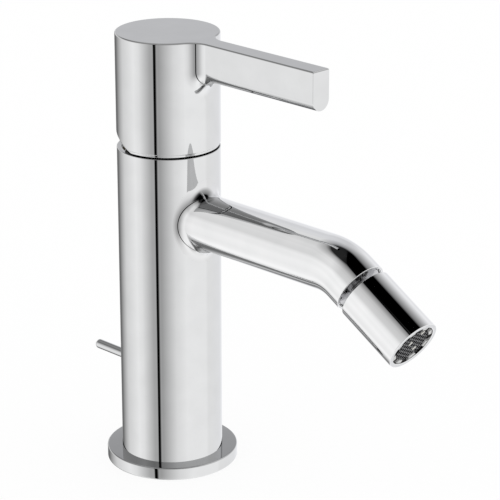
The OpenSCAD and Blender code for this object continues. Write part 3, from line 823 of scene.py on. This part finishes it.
def heading(source):
    """The turn and rise of a direction; the turn counts from the camera's side."""
    unit = tree.nodes.new("ShaderNodeVectorMath")
    unit.operation = "NORMALIZE"
    tree.links.new(source, unit.inputs[0])
    parts = tree.nodes.new("ShaderNodeSeparateXYZ")
    tree.links.new(unit.outputs[0], parts.inputs[0])
    turn = maths("ARCTAN2", parts.outputs["X"], maths("MULTIPLY", parts.outputs["Y"], -1.0))
    turn = maths("WRAP", maths("SUBTRACT", turn, CAMERA_TURN), math.pi, -math.pi)
    return turn, maths("ARCSINE", parts.outputs["Z"])


def tent(source, low_left, low_right, behind, behind_again, facing, front):
    """The tent's tones in every direction; each list says how one side of it changes with the rise.

    low_left: how the left walls fade downwards; low_right: how much white the right ones take;
    behind, behind_again: how the roof behind fades, as mirrored once and as mirrored twice;
    facing, front: how the walls and the roof in front fade.
    """
    turn, rise = heading(source)
    walls = tones(
        turn,
        TURN,
        [
            (-180, 0.92),
            (-167, 0.2),
            (-151, 0.15),
            (-115, 0.74),
            (-79, 0.95),
            (-65, 0.87),
            (-38, 0.45),
            (-18, 0.38),
            (14, 0.8),
            (38, 0.94),
            (88, 0.93),
            (96, 0.86),
            (145, 0.86),
            (175, 0.96),
        ],
    )
    roof = tones(
        turn,
        TURN,
        [
            (-180, 0.84),
            (-153, 0.93),
            (-90, 0.85),
            (-66, 0.95),
            (-24, 0.45),
            (124, 0.5),
            (150, 0.7),
            (178, 0.84),
        ],
    )
    path = tree.nodes.new("ShaderNodeLightPath")
    again = maths("GREATER_THAN", path.outputs["Glossy Depth"], 1.5)
    at_front = tones(turn, TURN, [(-40, 0), (-20, 1), (148, 1), (162, 0)])
    at_left = tones(turn, TURN, [(-125, 1), (-100, 0), (165, 0), (175, 1)])
    overhead = tones(turn, TURN, [(-30, 0), (-16, 1), (36, 1), (54, 0)])
    overhead = mixed("MULTIPLY", again, overhead, 0.3)
    facing_walls = mixed("MIX", again, tones(rise, RISE, facing), facing[0][1])
    facing_walls = mixed("MULTIPLY", 1, walls, facing_walls)
    left_walls = mixed("MULTIPLY", 1, walls, tones(rise, RISE, low_left))
    right_walls = mixed("MULTIPLY", 1, walls, low_left[-1][1])
    right_walls = mixed("MIX", tones(rise, RISE, low_right), right_walls, 1.0)
    walls = mixed("MIX", at_left, right_walls, left_walls)
    slope = mixed("MIX", again, tones(rise, RISE, behind), tones(rise, RISE, behind_again))
    back_roof = mixed("MULTIPLY", 1, roof, slope)
    front_roof = mixed("MULTIPLY", 1, roof, tones(rise, RISE, front))
    dark_top = tones(rise, RISE, [(30, 0.9), (44, 0.2), (50, 0.06), (56, 0)])
    front_roof = mixed("MULTIPLY", overhead, front_roof, dark_top)
    back_side = mixed("MIX", tones(rise, RISE, [(-8, 0), (5, 1)]), walls, back_roof)
    front_side = mixed("MIX", tones(rise, RISE, [(-8, 0), (-2, 1)]), walls, facing_walls)
    front_side = mixed("MIX", tones(rise, RISE, [(20, 0), (40, 1)]), front_side, front_roof)
    both = mixed("MIX", at_front, back_side, front_side)
    lilac, white = (0.97, 0.975, 1), (1, 1, 1)
    tint = tones(turn, TURN, [(-172, lilac), (-155, white), (100, white), (165, lilac)])
    both = mixed("MULTIPLY", 1, both, tint)
    fade = tones(
        turn,
        TURN,
        [
            (-100, 1),
            (-62, 0.8),
            (-8, 0.18),
            (14, 0.17),
            (57, 0.38),
            (84, 0.64),
            (108, 0.65),
            (137, 0.4),
        ],
    )
    fade = mixed("MIX", tones(rise, RISE, [(-40, 1), (-28, 0)]), 0.6, fade)
    both = mixed("MULTIPLY", again, both, fade)
    joint = tones(turn, TURN, [(-30.6, 1), (-30, 0.003), (-24.2, 0.003), (-23.6, 1)])
    return mixed("MULTIPLY", 1, both, joint)


way = tree.nodes.new("ShaderNodeTexCoord")
light = tent(
    way.outputs["Generated"],
    [(-50, 0.35), (-35, 0.6), (-26, 1)],
    [(-84, 0.1), (-66, 0.5), (-58, 1), (-48, 1), (-26, 0)],
    [(4, 0.9), (20, 0.565), (33, 0.2), (40, 0.02)],
    [(4, 0.8), (14, 0.5), (25, 0.45), (46, 0.95), (61, 0.42), (68, 0)],
    [(0, 1), (12, 0.55)],
    [(40, 0.9), (61, 0.42), (68, 0)],
)
path = tree.nodes.new("ShaderNodeLightPath")
light = mixed("MIX", path.outputs["Is Glossy Ray"], 1.0, light)
sky = tree.nodes.new("ShaderNodeBackground")
tree.links.new(light, sky.inputs["Color"])
output = tree.nodes.new("ShaderNodeOutputWorld")
tree.links.new(sky.outputs[0], output.inputs["Surface"])
bpy.context.scene.view_settings.view_transform = "Standard"


# Lamps: two soft domes of light that show in reflections alone.
# One brightens what spout and nozzle mirror, and the other greys the dark roof over the rest.
def dome(name, radius, *lit_pieces):
    """A sphere that lights some pieces alone, with a radius in metres and no glow as yet."""
    bpy.ops.object.select_all(action="DESELECT")
    bpy.ops.mesh.primitive_uv_sphere_add(segments=48, ring_count=24, radius=radius)
    lamp = bpy.context.object
    lamp.name = lamp.data.name = name
    lamp.visible_camera = lamp.visible_diffuse = False
    lamp.visible_shadow = lamp.visible_transmission = False
    lit = bpy.data.collections.new(f"lit_by_{name}")
    for piece in lit_pieces:
        lit.objects.link(piece)
    lamp.light_linking.receiver_collection = lit
    glow = bpy.data.materials.new(f"glow_of_{name}")
    glow.use_nodes = True
    glow.node_tree.nodes.clear()
    glow.cycles.emission_sampling = "NONE"
    lamp.data.materials.append(glow)
    return glow.node_tree


def lit_once(light):
    """Shines the light of a dome, but not on what is mirrored twice."""
    path = tree.nodes.new("ShaderNodeLightPath")
    light = mixed("MULTIPLY", 1, light, maths("LESS_THAN", path.outputs["Glossy Depth"], 1.5))
    shine = tree.nodes.new("ShaderNodeEmission")
    tree.links.new(light, shine.inputs["Color"])
    clear = tree.nodes.new("ShaderNodeBsdfTransparent")
    both = tree.nodes.new("ShaderNodeAddShader")
    tree.links.new(shine.outputs[0], both.inputs[0])
    tree.links.new(clear.outputs[0], both.inputs[1])
    output = tree.nodes.new("ShaderNodeOutputMaterial")
    tree.links.new(both.outputs[0], output.inputs["Surface"])


tree = dome("spout_lamp", 20, spout, nozzle)
way = tree.nodes.new("ShaderNodeTexCoord")
lit_once(
    tent(
        way.outputs["Object"],
        [(-50, 0.9), (-35, 0.8), (-26, 0)],
        [(0, 0)],
        [(4, 0.08), (14, 0.3), (25, 0.38), (39, 0.79), (46, 0.8), (61, 0.42), (68, 0)],
        [(0, 0)],
        [(0, 0), (12, 0.45)],
        [(0, 0)],
    )
)

tree = dome("roof_lamp", 25, base_ring, body, knob, handle, plug)
way = tree.nodes.new("ShaderNodeTexCoord")
lit_once(tones(heading(way.outputs["Object"])[1], RISE, [(34, 0), (42, 0.22), (58, 0.3)]))
